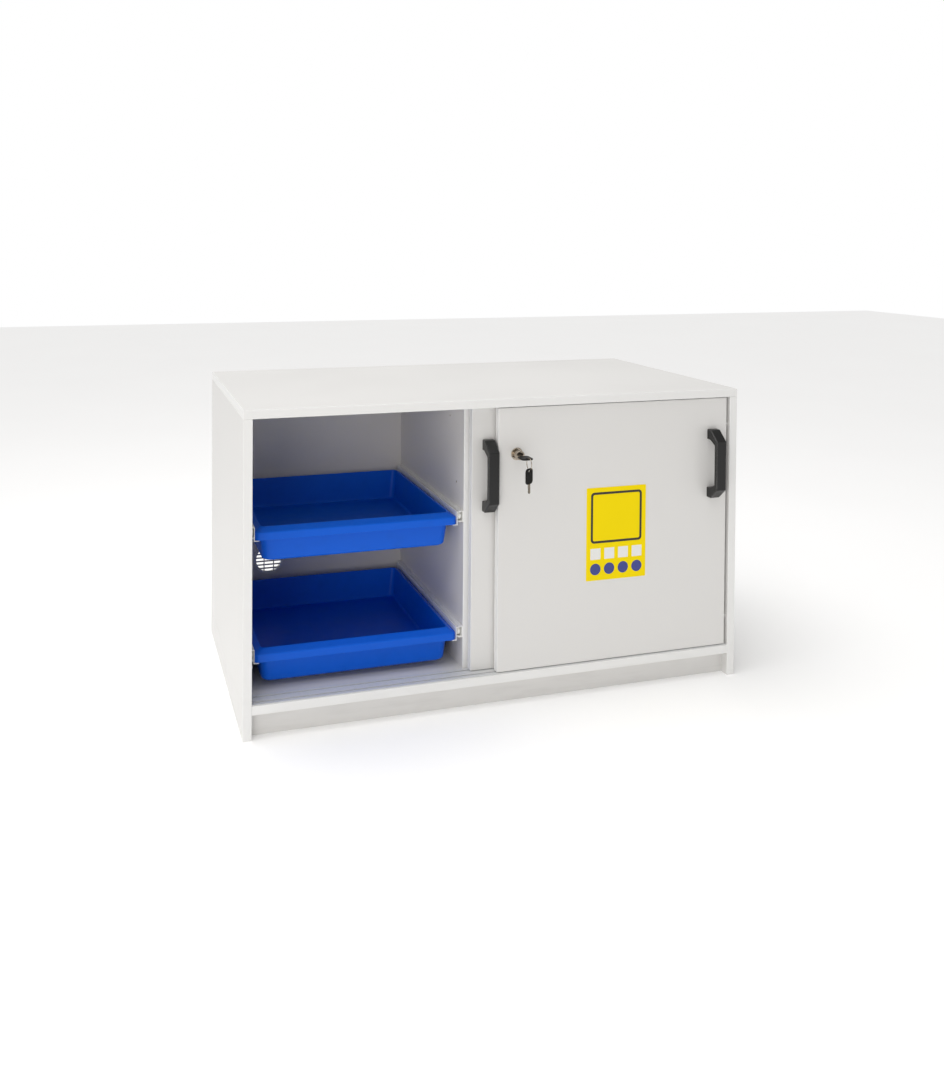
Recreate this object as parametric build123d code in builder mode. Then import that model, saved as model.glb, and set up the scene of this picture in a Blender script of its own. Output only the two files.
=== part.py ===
"""Under-bench safety cabinet: a laminated-board carcass with two sliding doors,
a push lock with its keys, and four pull-out spill trays on roller runners.

Frame: X to the right, Y to the back, Z up, millimetres. The floor is Z = 0, X = 0
is the middle of the cabinet, and Y = 0 is the middle of its whole depth, from the
key ring in front to the rear edges.
"""

from build123d import *
import math
import os

os.makedirs("parts", exist_ok=True)

# Carcass
width = 1100.0
depth = 570.0
height = 644.0
board = 18.0
board_edge = 1.0
plinth_height = 49.5
plinth_recess = 22.0
compartment_width = 451.0
partition_recess = 49.0
spare_hole_radius = 2.5
spare_hole_depth = 12.0
spare_holes = ((140.0, 589.0), (227.0, 361.0), (95.0, 454.0))
back_thickness = 8.0
back_face_depth = 516.0
back_groove_depth = 5.5
back_groove_clearance = 0.2
vent_from_side = 114.5
vent_height = 186.0
vent_hole_radius = 34.0

# Vent grille
grille_radius = 37.0
grille_flange = 2.5
grille_edge = 1.0
grille_clearance = 0.2
grille_slot_width = 20.8
grille_slot_height = 5.4
grille_column_pitch = 23.3
grille_row_pitch = 8.6
grille_rim = 2.8

# Door tracks, let into the bottom and top panels
track_front = 2.5
track_width = 44.0
track_base = 1.5
bottom_track_height = 6.0
bottom_track_proud = 1.5
top_track_height = 11.0
track_groove_width = 4.4

# Doors
door_recess = 4.0
door_gap = 5.0
door_above_bottom = 3.0
door_below_top = 2.0
door_side_gap = 6.0
door_overlap = 92.5
handle_pass_gap = 3.0

# Glides and guides in the door edges
glide_length = 40.0
glide_width = 11.0
glide_depth = 13.0
glide_tongue = 3.8
glide_from_edge = 45.0
glide_clearance = 0.2
guide_length = 30.0
guide_rise = 9.0

# Buffers on the side panels
buffer_radius = 4.0
buffer_gap = 0.5
buffer_from_end = 60.0

# Handles
handle_length = 151.0
handle_width = 24.0
handle_stand_out = 38.0
handle_grip = 10.0
handle_foot = 22.0
handle_shoulder = 13.0
handle_centre_height = 480.5
handle_round = 2.5
handle_bevel = 1.2
rear_handle_from_edge = 35.5
front_handle_from_edge = 37.0
handle_screw_radius = 2.0
handle_screw_head = 4.0
handle_screw_bite = 12.0
handle_screw_clearance = 0.05

# Lock in the front door
lock_from_edge = 41.0
lock_height = 527.0
rosette_radius = 13.0
rosette_thickness = 2.5
rosette_edge = 1.2
lock_body_radius = 12.0
lock_body_end = 1.5
plunger_radius = 9.5
plunger_clearance = 0.15
plunger_stand_out = 20.0
plunger_rear = 11.0
plunger_edge = 0.8
bolt_radius = 5.0
bolt_set_back = 0.4
bolt_clearance = 0.2
plug_radius = 5.5
plug_clearance = 0.05
plug_length = 24.0
keyway_clearance = 0.1
strike_radius = 9.0
strike_thickness = 1.5
strike_clearance = 1.0
strike_depth = 12.0

# Keys and ring
key_blade_thickness = 2.0
key_blade_width = 7.0
key_blade_length = 20.0
key_shank = 8.0
key_head_length = 32.0
key_head_width = 25.0
key_head_thickness = 3.0
key_head_round = 7.0
key_head_edge = 0.8
key_hole_radius = 3.5
key_hole_inset = 5.0
key_hold = 12.0
key_cut_depth = 1.4
key_cuts = ((0.38, 0.0), (0.46, 1.0), (0.55, 0.4), (0.66, 1.0), (0.78, 0.2), (0.88, 1.0))
key_tip_slope = 0.9
ring_radius = 12.0
ring_wire_radius = 0.8
ring_lean = 40.0
ring_hang_gap = 0.8
spare_key_turn = 35.0

# Sign plate on the front door
sign_width = 142.0
sign_height = 200.0
sign_thickness = 0.8
sign_corner = 2.0
sign_from_edge = 203.5
sign_centre_height = 343.0

# Spill trays
tray_depth = 431.0
tray_front_depth = 54.0
tray_height = 72.0
tray_rim_width = 14.0
tray_rim_height = 24.0
tray_rim_drop = 8.5
tray_rim_flat = 2.0
tray_wall = 3.5
tray_floor = 4.0
tray_inset_bottom = 19.0
tray_inset_top = 11.5
tray_corner = 10.0
tray_body_corner = 16.0
tray_ridge_corner = 10.0
tray_cavity_corner = 14.0
tray_rim_round = 2.0
tray_base_round = 8.0
tray_floor_round = 5.0
lower_tray_base = 80.0
upper_tray_base = 325.0

# Roller runners
runner_space = 12.5
runner_length = 450.0
runner_front_depth = 50.0
steel = 1.2
drawer_rail_above_rim = 3.0
drawer_rail_flange = 9.0
cabinet_rail_height = 22.7
cabinet_rail_above = 2.2
cabinet_rail_inner = 2.6
roller_radius = 8.5
roller_width = 6.0
roller_round = 1.0
roller_bore_clearance = 0.05
roller_running_gap = 0.1
roller_from_end = 14.0
axle_radius = 2.0
axle_head_radius = 3.4
axle_head = 0.8
axle_collar_radius = 3.2
roller_side_gap = 0.2

# Places worked out from the sizes above
ring_drop = ring_radius * math.sin(math.radians(ring_lean))
ring_forward = ring_radius * math.cos(math.radians(ring_lean))
key_reach = plunger_stand_out + key_shank + key_head_length - key_hole_inset
front_reach = key_reach + ring_forward + ring_radius + ring_wire_radius - door_recess
front = (front_reach - depth) / 2
back = front + depth
side_inner = width / 2 - board
panel_under_top = height - board
floor_top = plinth_height + board
back_face = front + back_face_depth
partition_outer = side_inner - compartment_width
partition_front = front + partition_recess
front_door_face = front + door_recess
rear_door_face = front_door_face + board + door_gap
door_bottom = floor_top + door_above_bottom
door_top = panel_under_top - door_below_top
door_right = side_inner - door_side_gap
handle_strip = rear_handle_from_edge + handle_width / 2 + handle_pass_gap
rear_door_width = door_right + (door_overlap + handle_strip) / 2
front_door_width = rear_door_width - handle_strip
rear_door_left = door_right - rear_door_width
front_door_left = door_right - front_door_width
door_travel = door_right + rear_door_left
front_door_middle = front_door_face + board / 2
rear_door_middle = rear_door_face + board / 2
lock_x = front_door_left + lock_from_edge
plunger_face = front_door_face - plunger_stand_out
tray_width = compartment_width - 2 * runner_space
tray_middle_x = side_inner - compartment_width / 2
vent_from_middle = side_inner - vent_from_side
tray_front = front + tray_front_depth


def facing(y):
    """Plane that looks along +Y at depth y, with X to the right and Z up."""
    return Plane(origin=(0, y, 0), x_dir=(1, 0, 0), z_dir=(0, -1, 0))


def slab(x, y, z, mode=Mode.ADD):
    """A square-edged block between the low and high values of x, y and z."""
    with BuildSketch(Plane.XY.offset(z[0])) as outline:
        with Locations(((x[0] + x[1]) / 2, (y[0] + y[1]) / 2)):
            Rectangle(x[1] - x[0], y[1] - y[0])
    extrude(outline.sketch, amount=z[1] - z[0], mode=mode)


def peg(x, z, radius, y_from, y_to, mode=Mode.ADD):
    """A round bar along Y from y_from back to y_to."""
    with BuildSketch(facing(y_from)) as outline:
        with Locations((x, z)):
            Circle(radius)
    extrude(outline.sketch, amount=y_from - y_to, mode=mode)


def cross_peg(y, z, radius, x_from, x_to, mode=Mode.ADD):
    """A round bar along X between x_from and x_to."""
    with BuildSketch(Plane.YZ.offset(min(x_from, x_to))) as outline:
        with Locations((y, z)):
            Circle(radius)
    extrude(outline.sketch, amount=abs(x_to - x_from), mode=mode)


def save(piece, name):
    """Label a finished piece and write it under its own name."""
    piece.part.label = name
    export_step(piece.part, f"parts/{name}.step")


# Carcass boards
back_groove = (back_face - back_groove_clearance, back_face + back_thickness + back_groove_clearance)
track_span = (front + track_front, front + track_front + track_width)
track_floor = floor_top + bottom_track_proud - bottom_track_height
track_ceiling = panel_under_top + top_track_height

with BuildPart() as top_panel:
    slab((-width / 2, width / 2), (front, back), (panel_under_top, height))
    fillet(top_panel.edges(), radius=board_edge)
    groove_reach = side_inner + back_groove_depth
    slab(
        (-groove_reach, groove_reach),
        back_groove,
        (panel_under_top, panel_under_top + back_groove_depth),
        Mode.SUBTRACT,
    )
    slab((-side_inner, side_inner), track_span, (panel_under_top, track_ceiling), Mode.SUBTRACT)
save(top_panel, "top_panel")

for side, side_name in ((-1, "left"), (1, "right")):
    inner, outer = side * side_inner, side * width / 2
    with BuildPart() as side_panel:
        slab((min(inner, outer), max(inner, outer)), (front, back), (0, panel_under_top))
        upright = side_panel.edges().filter_by(Axis.Z)
        fillet(upright.filter_by(lambda e: e.center().Y < front + 1), radius=board_edge)
        groove_end = inner + side * back_groove_depth
        slab(
            (min(inner, groove_end), max(inner, groove_end)),
            back_groove,
            (floor_top - back_groove_depth, panel_under_top),
            Mode.SUBTRACT,
        )
    save(side_panel, f"{side_name}_side_panel")

with BuildPart() as bottom_panel:
    slab((-side_inner, side_inner), (front, back), (plinth_height, floor_top))
    fillet(bottom_panel.edges().filter_by(Axis.X).sort_by(Axis.Y)[:2], radius=board_edge)
    slab((-side_inner, side_inner), back_groove, (floor_top - back_groove_depth, floor_top), Mode.SUBTRACT)
    slab((-side_inner, side_inner), track_span, (track_floor, floor_top), Mode.SUBTRACT)
save(bottom_panel, "bottom_panel")

with BuildPart() as plinth_board:
    plinth_front = front + plinth_recess
    slab((-side_inner, side_inner), (plinth_front, plinth_front + board), (0, plinth_height))
save(plinth_board, "plinth_board")

# Partitions, each with spare blind holes for runner screws on its compartment's side
for side, side_name in ((-1, "left"), (1, "right")):
    near, far = side * partition_outer, side * (partition_outer - board)
    with BuildPart() as partition:
        slab((min(near, far), max(near, far)), (partition_front, back_face), (floor_top, panel_under_top))
        upright = partition.edges().filter_by(Axis.Z)
        fillet(upright.filter_by(lambda e: e.center().Y < partition_front + 1), radius=board_edge)
        for back_by, z in spare_holes:
            hole_end = near - side * spare_hole_depth
            cross_peg(front + back_by, z, spare_hole_radius, near, hole_end, Mode.SUBTRACT)
    save(partition, f"{side_name}_partition")

with BuildPart() as back_panel:
    reach = back_groove_depth - back_groove_clearance
    slab(
        (-side_inner - reach, side_inner + reach),
        (back_face, back_face + back_thickness),
        (floor_top - reach, panel_under_top + reach),
    )
    for side in (-1, 1):
        vent_x = side * vent_from_middle
        peg(vent_x, vent_height, vent_hole_radius, back_face, back_face + back_thickness, Mode.SUBTRACT)
save(back_panel, "back_panel")

# Round vent grilles: a flange on the back panel's front face, a spigot through its
# hole, and slots cut to the round inner edge so that the bars stay joined to the rim
for side, side_name in ((-1, "left"), (1, "right")):
    vent_x = side * vent_from_middle
    spigot_radius = vent_hole_radius - grille_clearance
    spigot_end = back_face + back_thickness
    with BuildPart() as vent_grille:
        peg(vent_x, vent_height, grille_radius, back_face - grille_flange, back_face)
        fillet(vent_grille.edges().filter_by(GeomType.CIRCLE).sort_by(Axis.Y)[0], radius=grille_edge)
        peg(vent_x, vent_height, spigot_radius, back_face, spigot_end)
        peg(vent_x, vent_height, spigot_radius - grille_rim, back_face, spigot_end, Mode.SUBTRACT)
        with BuildSketch(facing(back_face - grille_flange)):
            with Locations((vent_x, vent_height)):
                with GridLocations(grille_column_pitch, grille_row_pitch, 3, 7):
                    Rectangle(grille_slot_width, grille_slot_height)
                Circle(spigot_radius - grille_rim, mode=Mode.INTERSECT)
        extrude(amount=-grille_flange, mode=Mode.SUBTRACT)
    save(vent_grille, f"{side_name}_vent_grille")

# Door tracks: a flat strip with one groove under, or over, the middle of each door
with BuildPart() as bottom_door_track:
    track_top = floor_top + bottom_track_proud
    slab((-side_inner, side_inner), track_span, (track_floor, track_top))
    for middle in (front_door_middle, rear_door_middle):
        groove = (middle - track_groove_width / 2, middle + track_groove_width / 2)
        slab((-side_inner, side_inner), groove, (track_floor + track_base, track_top), Mode.SUBTRACT)
save(bottom_door_track, "bottom_door_track")

with BuildPart() as top_door_track:
    slab((-side_inner, side_inner), track_span, (panel_under_top, track_ceiling))
    for middle in (front_door_middle, rear_door_middle):
        groove = (middle - track_groove_width / 2, middle + track_groove_width / 2)
        slab((-side_inner, side_inner), groove, (panel_under_top, track_ceiling - track_base), Mode.SUBTRACT)
save(top_door_track, "top_door_track")

# Buffers that the door edges meet: both doors on the right, the rear one on the left
with BuildPart() as door_buffers:
    for buffer_z in (door_bottom + buffer_from_end, door_top - buffer_from_end):
        for side, middle in ((1, front_door_middle), (1, rear_door_middle), (-1, rear_door_middle)):
            cross_peg(middle, buffer_z, buffer_radius, side * side_inner, side * (door_right + buffer_gap))
save(door_buffers, "door_buffers")


def door_board(face, left, wide):
    """A door panel with pockets for its glides and guides in the lower and upper edges."""
    slab((left, left + wide), (face, face + board), (door_bottom, door_top))
    fillet(edges(), radius=board_edge)
    middle = face + board / 2
    for place in (left + glide_from_edge, left + wide - glide_from_edge):
        slab(
            (place - glide_length / 2, place + glide_length / 2),
            (middle - glide_width / 2, middle + glide_width / 2),
            (door_bottom, door_bottom + glide_depth),
            Mode.SUBTRACT,
        )
        slab(
            (place - guide_length / 2, place + guide_length / 2),
            (middle - glide_width / 2, middle + glide_width / 2),
            (door_top - glide_depth, door_top),
            Mode.SUBTRACT,
        )


def glides(face, left, wide):
    """Nylon glides: a block in the door's lower edge with a tongue in the track's groove."""
    middle = face + board / 2
    for place in (left + glide_from_edge, left + wide - glide_from_edge):
        slab(
            (place - glide_length / 2, place + glide_length / 2),
            (middle - glide_width / 2, middle + glide_width / 2),
            (door_bottom, door_bottom + glide_depth),
        )
        slab(
            (place - glide_length / 2 + glide_tongue, place + glide_length / 2 - glide_tongue),
            (middle - glide_tongue / 2, middle + glide_tongue / 2),
            (track_floor + track_base + glide_clearance, door_bottom),
        )


def guides(face, left, wide):
    """Upper guides: a block in the door's upper edge with a fin in the track's groove."""
    middle = face + board / 2
    for place in (left + glide_from_edge, left + wide - glide_from_edge):
        slab(
            (place - guide_length / 2, place + guide_length / 2),
            (middle - glide_width / 2, middle + glide_width / 2),
            (door_top - glide_depth, door_top),
        )
        slab(
            (place - guide_length / 2 + glide_tongue, place + guide_length / 2 - glide_tongue),
            (middle - glide_tongue / 2, middle + glide_tongue / 2),
            (door_top, door_top + guide_rise),
        )


def handle(face, middle_x):
    """A bow handle: two square feet, cut-off shoulders and a flat grip, all one moulding."""
    low = handle_centre_height - handle_length / 2
    high = handle_centre_height + handle_length / 2
    grip_back = handle_stand_out - handle_grip
    shoulder_back = handle_shoulder * grip_back / handle_stand_out
    with BuildSketch(Plane.YZ.offset(middle_x - handle_width / 2)) as profile:
        with BuildLine():
            Polyline(
                (face, high),
                (face - handle_shoulder, high),
                (face - handle_stand_out, high - handle_foot),
                (face - handle_stand_out, low + handle_foot),
                (face - handle_shoulder, low),
                (face, low),
                (face, low + handle_foot),
                (face - shoulder_back, low + handle_foot),
                (face - grip_back, low + handle_foot + handle_grip),
                (face - grip_back, high - handle_foot - handle_grip),
                (face - shoulder_back, high - handle_foot),
                (face, high - handle_foot),
                close=True,
            )
        make_face()
    extrude(profile.sketch, amount=handle_width)
    crosswise = edges().filter_by(Axis.X).filter_by(lambda e: e.center().Y < face - 1)
    fillet(crosswise, radius=handle_round)
    ends = faces().sort_by(Axis.X)
    rims = (ends[0].edges() + ends[-1].edges()).filter_by(lambda e: e.center().Y < face - 0.1)
    chamfer(rims, length=handle_bevel)


def handle_screw_places(middle_x):
    """Middles of the two screws, in the middle of the handle's feet."""
    reach = handle_length / 2 - handle_foot / 2
    return [(middle_x, handle_centre_height + s * reach) for s in (-1, 1)]


def handle_screws(face, middle_x, mode=Mode.ADD):
    """Countersunk screws from the back of the door into the handle's feet."""
    for x, z in handle_screw_places(middle_x):
        peg(x, z, handle_screw_radius, face - handle_screw_bite, face + board, mode)
        with BuildSketch(facing(face + board)) as head:
            with Locations((x, z)):
                Circle(handle_screw_head)
        with BuildSketch(facing(face + board - handle_screw_head + handle_screw_radius)) as neck:
            with Locations((x, z)):
                Circle(handle_screw_radius)
        loft([head.sketch, neck.sketch], mode=mode)


rear_handle_x = rear_door_left + rear_handle_from_edge
front_handle_x = door_right - front_handle_from_edge
doors = (
    ("left", rear_door_face, rear_door_left, rear_door_width, rear_handle_x),
    ("right", front_door_face, front_door_left, front_door_width, front_handle_x),
)
strike_x = lock_x + door_travel
strike_hole = bolt_radius + strike_clearance

for name, face, left, wide, handle_x in doors:
    with BuildPart() as door:
        door_board(face, left, wide)
        handle_screws(face, handle_x, Mode.SUBTRACT)
        if name == "right":
            peg(lock_x, lock_height, lock_body_radius, face, face + board, Mode.SUBTRACT)
        else:
            peg(strike_x, lock_height, strike_radius, face, face + strike_thickness, Mode.SUBTRACT)
            peg(strike_x, lock_height, strike_hole, face, face + strike_depth, Mode.SUBTRACT)
    save(door, f"{name}_door")
    with BuildPart() as door_glides:
        glides(face, left, wide)
    save(door_glides, f"{name}_door_glides")
    with BuildPart() as door_guides:
        guides(face, left, wide)
    save(door_guides, f"{name}_door_guides")
    with BuildPart() as door_handle:
        handle(face, handle_x)
        hole_radius = handle_screw_radius + handle_screw_clearance
        for x, z in handle_screw_places(handle_x):
            peg(x, z, hole_radius, face - handle_screw_bite, face, Mode.SUBTRACT)
    save(door_handle, f"{name}_door_handle")
    with BuildPart() as door_handle_screws:
        handle_screws(face, handle_x)
    save(door_handle_screws, f"{name}_door_handle_screws")

# Striker bush, let into the face of the rear door
with BuildPart() as lock_strike:
    strike_back = rear_door_face + strike_thickness
    peg(strike_x, lock_height, strike_radius, rear_door_face, strike_back)
    peg(strike_x, lock_height, strike_hole, rear_door_face, strike_back, Mode.SUBTRACT)
save(lock_strike, "lock_strike")

with BuildPart() as sign_plate:
    sign_x = front_door_left + sign_from_edge
    with BuildSketch(facing(front_door_face)):
        with Locations((sign_x + sign_width / 2, sign_centre_height)):
            RectangleRounded(sign_width, sign_height, sign_corner)
    extrude(amount=sign_thickness)
save(sign_plate, "sign_plate")

# Push lock: body, rosette, plunger with its bolt, turning plug, keys and ring
door_back = front_door_face + board
plunger_end = front_door_face + plunger_rear
plunger_hole = plunger_radius + plunger_clearance

with BuildPart() as lock_body:
    peg(lock_x, lock_height, lock_body_radius, front_door_face, door_back)
    peg(lock_x, lock_height, plunger_hole, front_door_face, door_back - lock_body_end, Mode.SUBTRACT)
    peg(lock_x, lock_height, bolt_radius + bolt_clearance, front_door_face, door_back, Mode.SUBTRACT)
save(lock_body, "lock_body")

with BuildPart() as lock_rosette:
    rosette_face = front_door_face - rosette_thickness
    peg(lock_x, lock_height, rosette_radius, rosette_face, front_door_face)
    fillet(lock_rosette.edges().filter_by(GeomType.CIRCLE).sort_by(Axis.Y)[0], radius=rosette_edge)
    peg(lock_x, lock_height, plunger_hole, rosette_face, front_door_face, Mode.SUBTRACT)
save(lock_rosette, "lock_rosette")

with BuildPart() as lock_plunger:
    plug_hole_end = plunger_face + plug_length + plug_clearance
    peg(lock_x, lock_height, plunger_radius, plunger_face, plunger_end)
    fillet(lock_plunger.edges().filter_by(GeomType.CIRCLE).sort_by(Axis.Y)[0], radius=plunger_edge)
    peg(lock_x, lock_height, bolt_radius, plunger_end, door_back - bolt_set_back)
    peg(lock_x, lock_height, plug_radius + plug_clearance, plunger_face, plug_hole_end, Mode.SUBTRACT)
save(lock_plunger, "lock_plunger")

keyway = (key_blade_width / 2 + keyway_clearance, key_blade_thickness / 2 + keyway_clearance)
blade_end = plunger_face + key_blade_length - key_shank
with BuildPart() as lock_plug:
    peg(lock_x, lock_height, plug_radius, plunger_face, plunger_face + plug_length)
    slab(
        (lock_x - keyway[0], lock_x + keyway[0]),
        (plunger_face, blade_end + keyway_clearance),
        (lock_height - keyway[1], lock_height + keyway[1]),
        Mode.SUBTRACT,
    )
save(lock_plug, "lock_plug")


def make_blade(plane):
    """A key blade from its root at the plane's origin out along +Y, with bitting in one side."""
    half = key_blade_width / 2
    tip = key_blade_length
    bitting = [(half - key_cut_depth * cut, tip * place) for place, cut in key_cuts]
    with BuildPart() as blade:
        with BuildSketch(plane.offset(-key_blade_thickness / 2)):
            with BuildLine():
                Polyline(
                    (-half, -key_hold),
                    (half, -key_hold),
                    *bitting,
                    (0, tip),
                    (-half, tip * key_tip_slope),
                    close=True,
                )
            make_face()
        extrude(amount=key_blade_thickness)
    return blade


def make_head(plane):
    """A moulded key head out along -Y, with its ring hole and a slot that holds the blade."""
    with BuildPart() as head:
        with BuildSketch(plane.offset(-key_head_thickness / 2)):
            with Locations((0, -key_head_length / 2)):
                RectangleRounded(key_head_width, key_head_length, key_head_round)
        extrude(amount=key_head_thickness)
        broad = head.faces().sort_by(SortBy.AREA)[-2:]
        fillet(broad[0].edges() + broad[1].edges(), radius=key_head_edge)
        with BuildSketch(plane.offset(-key_head_thickness / 2)):
            with Locations((0, -key_head_length + key_hole_inset)):
                Circle(key_hole_radius)
        extrude(amount=key_head_thickness, mode=Mode.SUBTRACT)
        with BuildSketch(plane.offset(-key_blade_thickness / 2)):
            with Locations((0, -key_hold / 2)):
                Rectangle(key_blade_width, key_hold)
        extrude(amount=key_blade_thickness, mode=Mode.SUBTRACT)
    return head


blade_root = plunger_face - key_shank
key_plane = Plane(origin=(lock_x, blade_root, lock_height), x_dir=(1, 0, 0), z_dir=(0, 0, 1))
hole_y = blade_root - key_head_length + key_hole_inset
ring_y = hole_y - ring_forward
ring_z = lock_height - ring_drop
ring_low = ring_z - ring_radius
spare_hole_z = ring_low - key_hole_radius + ring_wire_radius + ring_hang_gap
spare_root_z = spare_hole_z - key_head_length + key_hole_inset
turn = math.radians(spare_key_turn)
spare_plane = Plane(
    origin=(lock_x, ring_y, spare_root_z),
    x_dir=(-math.cos(turn), -math.sin(turn), 0),
    z_dir=(math.sin(turn), -math.cos(turn), 0),
)

for name, plane in (("key", key_plane), ("spare_key", spare_plane)):
    save(make_blade(plane), f"{name}_blade")
    save(make_head(plane), f"{name}_head")

with BuildPart() as key_ring:
    with BuildSketch(Plane(origin=(lock_x, ring_y, ring_z), x_dir=(0, 1, 0), z_dir=(0, 0, 1))):
        with Locations((ring_radius, 0)):
            Circle(ring_wire_radius)
    revolve(axis=Axis((lock_x, ring_y, ring_z), (1, 0, 0)))
save(key_ring, "key_ring")


# Spill trays and their runners
def rounded_section(z, inset, middle_x, middle_y, corner):
    """The tray's outline, drawn in by inset, at height z."""
    with BuildSketch(Plane.XY.offset(z)) as section:
        with Locations((middle_x, middle_y)):
            RectangleRounded(tray_width - 2 * inset, tray_depth - 2 * inset, corner)
    return section.sketch


def make_tray(middle_x, base):
    """A moulded tray: tapered body, hollow turned-down rim with a sloping top."""
    middle_y = tray_front + tray_depth / 2
    top = base + tray_height
    rim_bottom = top - tray_rim_height
    band_top = top - tray_rim_drop
    with BuildPart() as tray:
        body_low = rounded_section(base, tray_inset_bottom, middle_x, middle_y, tray_body_corner)
        body_high = rounded_section(top, tray_inset_top, middle_x, middle_y, tray_body_corner)
        loft([body_low, body_high])
        fillet(tray.faces().sort_by(Axis.Z)[0].edges(), radius=tray_base_round)
        rim_low = rounded_section(rim_bottom, 0, middle_x, middle_y, tray_corner)
        extrude(rim_low, amount=band_top - rim_bottom)
        rim_shoulder = rounded_section(band_top, 0, middle_x, middle_y, tray_corner)
        rim_ridge = rounded_section(top, tray_rim_width, middle_x, middle_y, tray_ridge_corner)
        loft([rim_shoulder, rim_ridge])
        shoulder = edges().filter_by(lambda e: abs(e.center().Z - band_top) < 0.01)
        fillet(shoulder, radius=tray_rim_round)
        mouth = tray_rim_width + tray_rim_flat
        cavity = tray_inset_bottom + tray_wall
        cavity_low = rounded_section(base + tray_floor, cavity, middle_x, middle_y, tray_cavity_corner)
        cavity_high = rounded_section(top, mouth, middle_x, middle_y, tray_ridge_corner)
        loft([cavity_low, cavity_high], mode=Mode.SUBTRACT)
        floor_edges = edges().filter_by(lambda e: abs(e.center().Z - base - tray_floor) < 0.01)
        fillet(floor_edges, radius=tray_floor_round)
        with BuildSketch(Plane.XY.offset(rim_bottom)):
            with Locations((middle_x, middle_y)):
                skirt = 2 * tray_wall
                RectangleRounded(tray_width - skirt, tray_depth - skirt, tray_corner - tray_wall)
                hold = 2 * tray_inset_top
                RectangleRounded(tray_width - hold, tray_depth - hold, tray_body_corner, mode=Mode.SUBTRACT)
        extrude(amount=band_top - rim_bottom - tray_wall, mode=Mode.SUBTRACT)
    return tray


def rail_strip(x_from, x_to, y, z):
    """One leg of a folded steel profile, x given from either side."""
    slab((min(x_from, x_to), max(x_from, x_to)), y, z)


def rail_top_of(base):
    """Top of the drawer rails, a little above the tray's rim."""
    return base + tray_height + drawer_rail_above_rim


def cabinet_rail_floor(base):
    """Top of the cabinet rail's lower leg, which the rear rollers run on."""
    return rail_top_of(base) + cabinet_rail_above - cabinet_rail_height + steel


def rear_roller_height(base):
    """The rear rollers stand on the cabinet rail's lower leg."""
    return cabinet_rail_floor(base) + roller_running_gap + roller_radius


def front_roller_height(base):
    """The front rollers carry the upper leg of the drawer rails."""
    return rail_top_of(base) - steel - roller_running_gap - roller_radius


def make_drawer_rails(middle_x, base):
    """Folded steel rails under the tray's rim, each with the axle of its rear roller."""
    rim_bottom = base + tray_height - tray_rim_height
    rail_top = rail_top_of(base)
    span = (tray_front, tray_front + runner_length)
    roller_y = span[1] - roller_from_end
    roller_z = rear_roller_height(base)
    with BuildPart() as drawer_rails:
        for side in (-1, 1):
            wall = middle_x + side * tray_width / 2
            inner_face = wall + side * steel
            shelf_edge = wall - side * drawer_rail_flange
            rail_strip(wall, inner_face, span, (rim_bottom - steel, rail_top))
            rail_strip(shelf_edge, inner_face, span, (rim_bottom - steel, rim_bottom))
            rail_strip(wall, wall + side * drawer_rail_flange, span, (rail_top - steel, rail_top))
            roller_in = wall + side * (runner_space - roller_width) / 2
            roller_out = roller_in + side * roller_width
            cross_peg(roller_y, roller_z, axle_collar_radius, inner_face, roller_in - side * roller_side_gap)
            cross_peg(roller_y, roller_z, axle_radius, inner_face, roller_out + side * roller_side_gap)
            head_in = roller_out + side * roller_side_gap
            cross_peg(roller_y, roller_z, axle_head_radius, head_in, head_in + side * axle_head)
    return drawer_rails


def make_cabinet_rails(middle_x, base):
    """C-shaped steel rails on the compartment's walls, each with the axle of its front roller."""
    rail_top = rail_top_of(base) + cabinet_rail_above
    rail_low = rail_top - cabinet_rail_height
    span = (front + runner_front_depth, front + runner_front_depth + runner_length)
    roller_y = span[0] + roller_from_end
    roller_z = front_roller_height(base)
    with BuildPart() as cabinet_rails:
        for side in (-1, 1):
            wall = middle_x + side * (tray_width / 2 + runner_space)
            face = wall - side * steel
            lower_edge = middle_x + side * (tray_width / 2 + cabinet_rail_inner)
            rail_strip(wall, face, span, (rail_low, rail_top))
            rail_strip(wall, lower_edge, span, (rail_low, rail_low + steel))
            rail_strip(wall, lower_edge + side * steel, span, (rail_top - steel, rail_top))
            roller_in = middle_x + side * (tray_width / 2 + (runner_space - roller_width) / 2)
            roller_out = roller_in + side * roller_width
            head_out = roller_in - side * roller_side_gap
            cross_peg(roller_y, roller_z, axle_collar_radius, roller_out + side * roller_side_gap, face)
            cross_peg(roller_y, roller_z, axle_radius, head_out, face)
            cross_peg(roller_y, roller_z, axle_head_radius, head_out - side * axle_head, head_out)
    return cabinet_rails


def rollers(middle_x, y, z):
    """The left and right roller on one line, each a nylon wheel with rounded rims and a bore."""
    for side in (-1, 1):
        inner = middle_x + side * (tray_width / 2 + (runner_space - roller_width) / 2)
        outer = inner + side * roller_width
        cross_peg(y, z, roller_radius, inner, outer)
        cross_peg(y, z, axle_radius + roller_bore_clearance, inner, outer, Mode.SUBTRACT)
    rims = edges().filter_by(GeomType.CIRCLE).filter_by(lambda e: e.radius > axle_head_radius)
    fillet(rims, radius=roller_round)


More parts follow.
